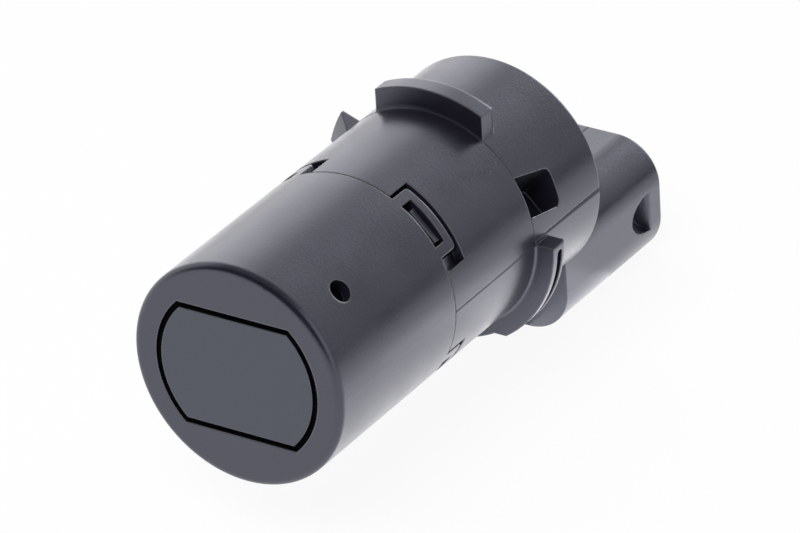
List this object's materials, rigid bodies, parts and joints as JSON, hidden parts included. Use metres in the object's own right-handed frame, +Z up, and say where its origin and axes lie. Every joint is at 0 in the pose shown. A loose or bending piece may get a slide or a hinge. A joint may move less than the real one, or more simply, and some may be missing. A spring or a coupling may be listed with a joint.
{
  "type": "parking sensor",
  "caption": "Ultrasonic distance sensor with a flat sensing face on a round barrel, fixing fins, a snap wing and a rear plug socket.",
  "frame": {"origin": "on the barrel axis, in the plane of the fins' front faces, where the sensor seats", "axes": "+Z up, +Y along the barrel axis from the sensing face to the plug socket, +X to the right seen from the front"},
  "size_m": [0.0294, 0.0696, 0.0337],
  "materials": {
    "sleeve_plastic": "satin anthracite, finely textured",
    "housing_plastic": "satin anthracite, finely textured",
    "membrane_paint": "painted satin anthracite",
    "black_silicone": "matte",
    "piezo_ceramic": "fired",
    "foam": "matte foam",
    "inner_plastic": "matte",
    "copper": "enamelled wire",
    "tinned_metal": "tinned",
    "seal_rubber": "matte",
    "board": "solder resist",
    "ferrite": "sintered",
    "chip_plastic": "matte",
    "can": "sleeved can",
    "film_capacitor": "dipped",
    "capacitor_ceramic": "fired",
    "resistor_ceramic": "coated",
    "oscillator_can": "plain",
    "terminal_metal": "tin plated",
    "resin": "cast"
  },
  "bodies": {
    "root": {"front_sleeve": "sleeve_plastic", "membrane_cup": "membrane_paint", "decoupling_ring": "black_silicone", "main_housing": "housing_plastic", "piezo_disc": "piezo_ceramic", "damping_pad": "foam", "transducer_carrier": "inner_plastic", "signal_wire": "copper", "ground_wire": "copper", "signal_pin": "tinned_metal", "ground_pin": "tinned_metal", "seal_ring": "seal_rubber", "circuit_board": "board", "core_lower": "ferrite", "core_upper": "ferrite", "transformer_bobbin": "inner_plastic", "transformer_winding": "copper", "transformer_pins": "tinned_metal", "control_chip": "chip_plastic", "chip_leads": "tinned_metal", "storage_capacitor": "can", "tuning_capacitor": "film_capacitor", "ceramic_capacitors": "capacitor_ceramic", "resistors": "resistor_ceramic", "oscillator": "oscillator_can", "diodes": "chip_plastic", "potting_pool": "resin", "supply_terminal": "terminal_metal", "data_terminal": "terminal_metal", "earth_terminal": "terminal_metal"}
  },
  "joints": []
}
